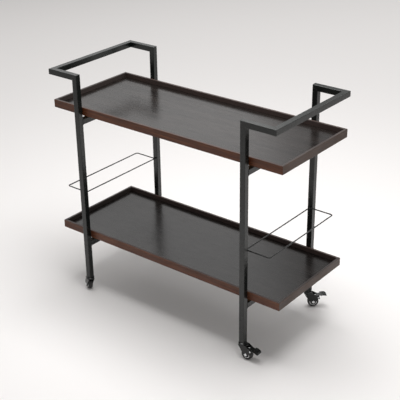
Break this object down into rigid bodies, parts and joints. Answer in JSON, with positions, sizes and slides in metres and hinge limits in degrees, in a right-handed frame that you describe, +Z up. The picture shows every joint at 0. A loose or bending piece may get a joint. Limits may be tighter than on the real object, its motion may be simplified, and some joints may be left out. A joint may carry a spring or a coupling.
{
  "type": "bar cart on wheels",
  "caption": "Rolling bar cart: shallow wooden trays on a square steel tube frame with raised end handles, wire bottle rails and swivel casters with foot brakes.",
  "frame": {"origin": "on the floor, at the middle of the footprint's bounding box with the casters turned as stored; the posts' own centre lies 18.75 mm towards -Y of it because one brake pedal stands out at the back", "axes": "+X along the trays to the right-hand end, which has the braked casters; +Y to the back; +Z up"},
  "size_m": [0.914, 0.4412, 0.8],
  "materials": {
    "frame_steel": "satin black powder coat",
    "rim_wood": "dark walnut veneer, satin lacquer",
    "tray_panel": "black stained wood grain laminate, satin",
    "batten_wood": "raw sawn pine",
    "zinc_steel": "bright zinc plate",
    "fork_steel": "gloss black paint on pressed steel",
    "hub_plastic": "light grey moulded, glossy",
    "tyre_rubber": "smooth black polyurethane",
    "black_plastic": "moulded black nylon"
  },
  "bodies": {
    "frame": {"post_front_left": "frame_steel", "post_front_right": "frame_steel", "post_back_left": "frame_steel", "post_back_right": "frame_steel", "handle_arm_front_left": "frame_steel", "handle_arm_front_right": "frame_steel", "handle_arm_back_left": "frame_steel", "handle_arm_back_right": "frame_steel", "handle_bar_left": "frame_steel", "handle_bar_right": "frame_steel", "cross_bar_upper_left": "frame_steel", "cross_bar_upper_right": "frame_steel", "cross_bar_lower_left": "frame_steel", "cross_bar_lower_right": "frame_steel", "wire_rail_left": "frame_steel", "wire_rail_right": "frame_steel", "upper_tray_floor": "tray_panel", "upper_rim_front": "rim_wood", "upper_rim_back": "rim_wood", "upper_rim_left": "rim_wood", "upper_rim_right": "rim_wood", "upper_tray_battens": "batten_wood", "lower_tray_floor": "tray_panel", "lower_rim_front": "rim_wood", "lower_rim_back": "rim_wood", "lower_rim_left": "rim_wood", "lower_rim_right": "rim_wood", "lower_tray_battens": "batten_wood", "tray_screws": "zinc_steel", "stem_sockets": "black_plastic", "caster_stem_front_left": "fork_steel", "caster_stem_front_right": "fork_steel", "caster_stem_back_left": "fork_steel", "caster_stem_back_right": "fork_steel"},
    "caster_front_left": {"fork_front_left": "fork_steel", "axle_front_left": "zinc_steel"},
    "wheel_front_left": {"wheel_hub_front_left": "hub_plastic", "tyre_front_left": "tyre_rubber"},
    "caster_front_right": {"fork_front_right": "fork_steel", "axle_front_right": "zinc_steel", "pedal_pin_front_right": "zinc_steel"},
    "wheel_front_right": {"wheel_hub_front_right": "hub_plastic", "tyre_front_right": "tyre_rubber"},
    "caster_back_left": {"fork_back_left": "fork_steel", "axle_back_left": "zinc_steel"},
    "wheel_back_left": {"wheel_hub_back_left": "hub_plastic", "tyre_back_left": "tyre_rubber"},
    "caster_back_right": {"fork_back_right": "fork_steel", "axle_back_right": "zinc_steel", "pedal_pin_back_right": "zinc_steel"},
    "wheel_back_right": {"wheel_hub_back_right": "hub_plastic", "tyre_back_right": "tyre_rubber"},
    "pedal_front_right": {"brake_pedal_front_right": "fork_steel", "brake_shoe_front_right": "black_plastic"},
    "pedal_back_right": {"brake_pedal_back_right": "fork_steel", "brake_shoe_back_right": "black_plastic"}
  },
  "joints": [
    {"name": "swivel_front_left", "type": "hinge", "parent": "frame", "child": "caster_front_left", "pos_m": [-0.333, -0.20675, 0.0515], "axis": [0, 0, 1], "continuous": true},
    {"name": "roll_front_left", "type": "hinge", "parent": "caster_front_left", "child": "wheel_front_left", "pos_m": [-0.34931, -0.19914, 0.019], "axis": [-0.4226, -0.9063, 0], "continuous": true},
    {"name": "swivel_front_right", "type": "hinge", "parent": "frame", "child": "caster_front_right", "pos_m": [0.333, -0.20675, 0.0515], "axis": [0, 0, 1], "continuous": true},
    {"name": "roll_front_right", "type": "hinge", "parent": "caster_front_right", "child": "wheel_front_right", "pos_m": [0.351, -0.20675, 0.019], "axis": [0, 1, 0], "continuous": true},
    {"name": "swivel_back_left", "type": "hinge", "parent": "frame", "child": "caster_back_left", "pos_m": [-0.333, 0.16925, 0.0515], "axis": [0, 0, 1], "continuous": true},
    {"name": "roll_back_left", "type": "hinge", "parent": "caster_back_left", "child": "wheel_back_left", "pos_m": [-0.34457, 0.18304, 0.019], "axis": [-0.766, -0.6428, 0], "continuous": true},
    {"name": "swivel_back_right", "type": "hinge", "parent": "frame", "child": "caster_back_right", "pos_m": [0.333, 0.16925, 0.0515], "axis": [0, 0, 1], "continuous": true},
    {"name": "roll_back_right", "type": "hinge", "parent": "caster_back_right", "child": "wheel_back_right", "pos_m": [0.34638, 0.1813, 0.019], "axis": [-0.6691, 0.7431, 0], "continuous": true},
    {"name": "brake_front_right", "type": "hinge", "parent": "caster_front_right", "child": "pedal_front_right", "pos_m": [0.36801, -0.20675, 0.03649], "axis": [0, -1, 0], "range_deg": [0, 14]},
    {"name": "brake_back_right", "type": "hinge", "parent": "caster_back_right", "child": "pedal_back_right", "pos_m": [0.35902, 0.19268, 0.03649], "axis": [0.6691, -0.7431, 0], "range_deg": [-14, 0]}
  ]
}
